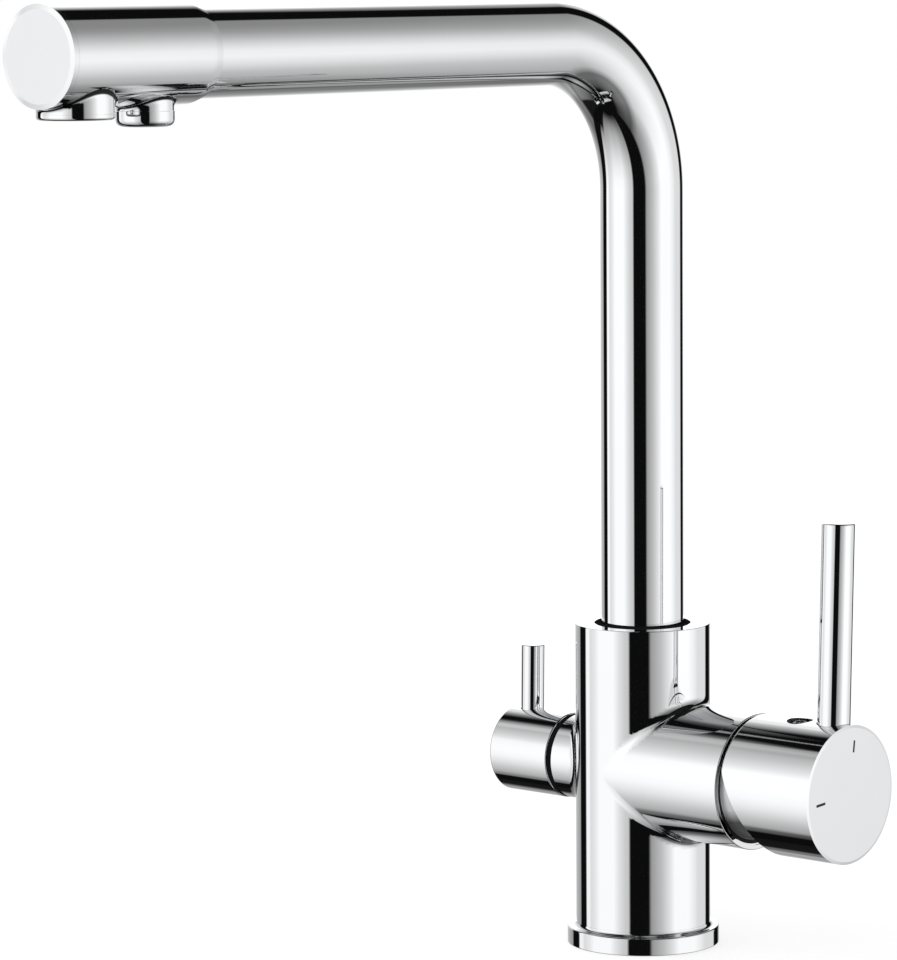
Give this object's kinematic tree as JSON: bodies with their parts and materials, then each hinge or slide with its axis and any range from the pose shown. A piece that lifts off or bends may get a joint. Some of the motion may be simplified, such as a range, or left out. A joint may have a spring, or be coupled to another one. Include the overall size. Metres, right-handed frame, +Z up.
{
  "type": "three way kitchen tap",
  "caption": "Three way filtered water tap: swivelling L spout with separate mixed and filtered outlets, single lever mixer on one side, quarter turn filter valve on the other.",
  "frame": {"origin": "centre of the base's underside, on the deck", "axes": "+Z up along the column, -Y towards the spout's outlets, +X along the mixer arm, -X along the filter arm"},
  "size_m": [0.146, 0.3014, 0.3235],
  "materials": {
    "chrome": "mirror polished chrome plate on brass",
    "brass": "machined brass",
    "steel": "stainless steel",
    "rubber": "black sealing rubber",
    "black_plastic": "black moulded plastic",
    "white_plastic": "white moulded plastic",
    "ceramic": "lapped white ceramic",
    "hose_plastic": "translucent plastic hose"
  },
  "bodies": {
    "tap_body": {"body": "chrome", "base_flange": "chrome", "base_gasket": "rubber", "filtered_water_connector": "brass", "spout_glide_ring": "white_plastic", "spout_grub_screw": "steel", "cartridge_seal": "rubber", "cartridge_base": "black_plastic", "cartridge_casing": "white_plastic", "cartridge_fixed_disc": "ceramic", "cartridge_nut": "brass", "cartridge_dome": "chrome", "filter_seat_washer": "rubber", "filter_fixed_disc": "ceramic", "filter_valve_housing": "brass", "filter_glide_ring": "black_plastic"},
    "spout": {"spout_insert": "brass", "spout_o_ring_lower": "rubber", "spout_o_ring_upper": "rubber", "spout_tube": "chrome", "spout_sleeve": "chrome", "spout_end_cap": "chrome", "end_cap_o_ring": "rubber", "filtered_water_hose": "hose_plastic", "aerator_housing": "chrome", "aerator_insert": "white_plastic", "aerator_washer": "rubber", "filter_nozzle": "chrome", "filter_nozzle_insert": "white_plastic", "filter_nozzle_elbow": "brass"},
    "mixer_rotor": {"cartridge_rotor": "white_plastic", "cartridge_stem_pin": "steel"},
    "mixer_lever_group": {"cartridge_stem": "brass", "mixer_handle": "chrome", "mixer_lever": "chrome", "handle_grub_screw": "steel"},
    "mixing_disc": {"cartridge_moving_disc": "ceramic", "cartridge_disc_carrier": "black_plastic"},
    "filter_lever_group": {"filter_turning_disc": "ceramic", "filter_spindle": "brass", "filter_handle": "chrome", "filter_lever": "chrome", "filter_grub_screw": "steel"}
  },
  "joints": [
    {"name": "spout_swivel", "type": "hinge", "parent": "tap_body", "child": "spout", "pos_m": [0, 0, 0.09], "axis": [0, 0, 1], "range_deg": [-120, 120]},
    {"name": "mixer_temperature", "type": "hinge", "parent": "tap_body", "child": "mixer_rotor", "pos_m": [0.046, 0, 0.061], "axis": [1, 0, 0], "range_deg": [-45, 45]},
    {"name": "mixer_flow", "type": "hinge", "parent": "mixer_rotor", "child": "mixer_lever_group", "pos_m": [0.046, 0, 0.061], "axis": [0, 0.9995, -0.0332], "range_deg": [0, 25]},
    {"name": "disc_slide", "type": "slide", "parent": "mixer_rotor", "child": "mixing_disc", "axis": [0, 0.0332, 0.9995], "range_m": [0, 0.0033]},
    {"name": "filter_valve", "type": "hinge", "parent": "tap_body", "child": "filter_lever_group", "pos_m": [-0.045, 0, 0.061], "axis": [1, 0, 0], "range_deg": [0, 90]}
  ],
  "couplings": [
    {"joint": "disc_slide", "follows": "mixer_flow", "m_per_rad": 0.0075}
  ]
}
